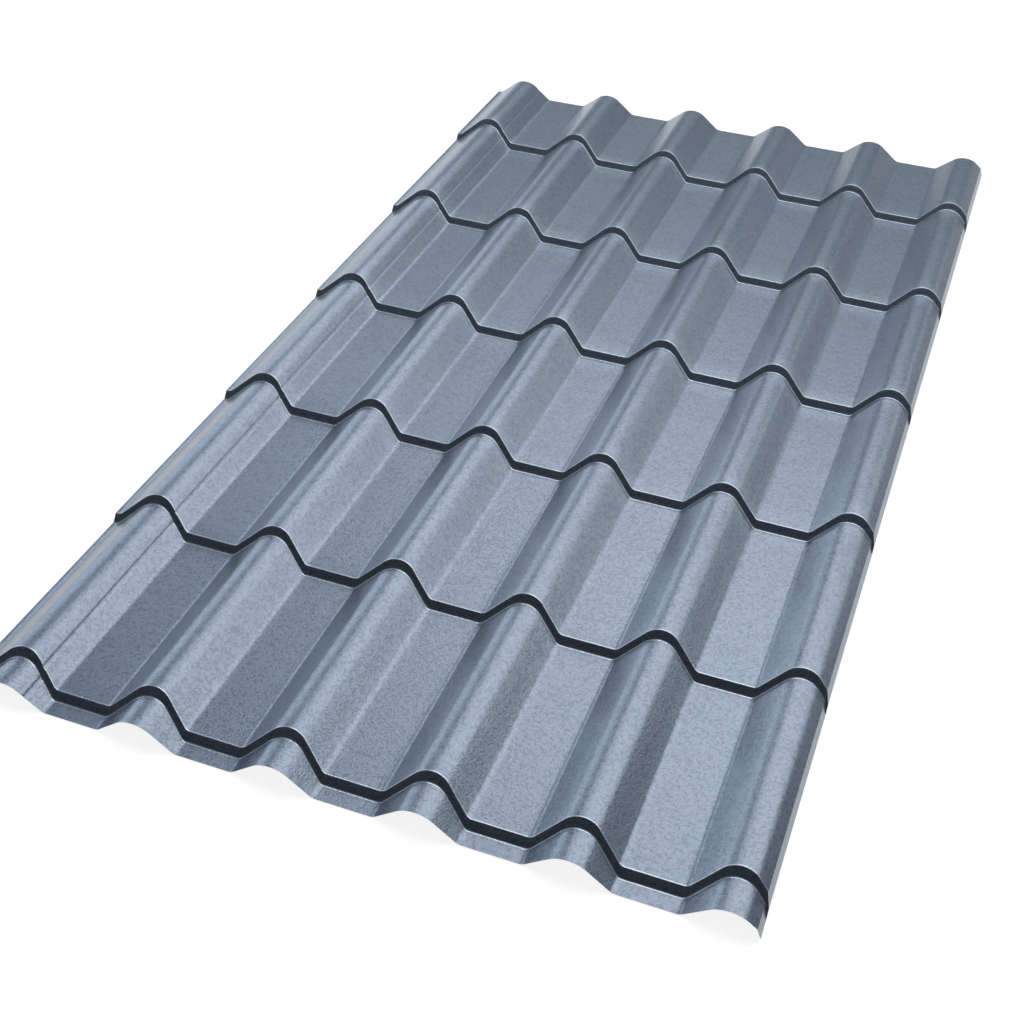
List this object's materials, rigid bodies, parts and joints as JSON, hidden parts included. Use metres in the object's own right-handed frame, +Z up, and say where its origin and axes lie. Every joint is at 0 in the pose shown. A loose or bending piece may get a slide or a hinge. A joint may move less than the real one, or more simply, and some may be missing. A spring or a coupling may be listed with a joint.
{
  "type": "tile effect metal roofing sheet",
  "caption": "Pressed steel roofing sheet with rounded waves across and stepped courses along, laid over battens to look like roof tiles.",
  "frame": {"origin": "on the floor, under the middle of the sheet's bounding box", "axes": "+X across the sheet towards the lip that laps over the next sheet, +Y up the slope towards the top edge, +Z up"},
  "size_m": [1.1066, 2.038, 0.0467],
  "materials": {
    "coated_steel": "slate blue-grey textured matt coating with a fine wrinkle grain and a soft metallic glint"
  },
  "bodies": {
    "root": {"roofing_sheet": "coated_steel"}
  },
  "joints": []
}
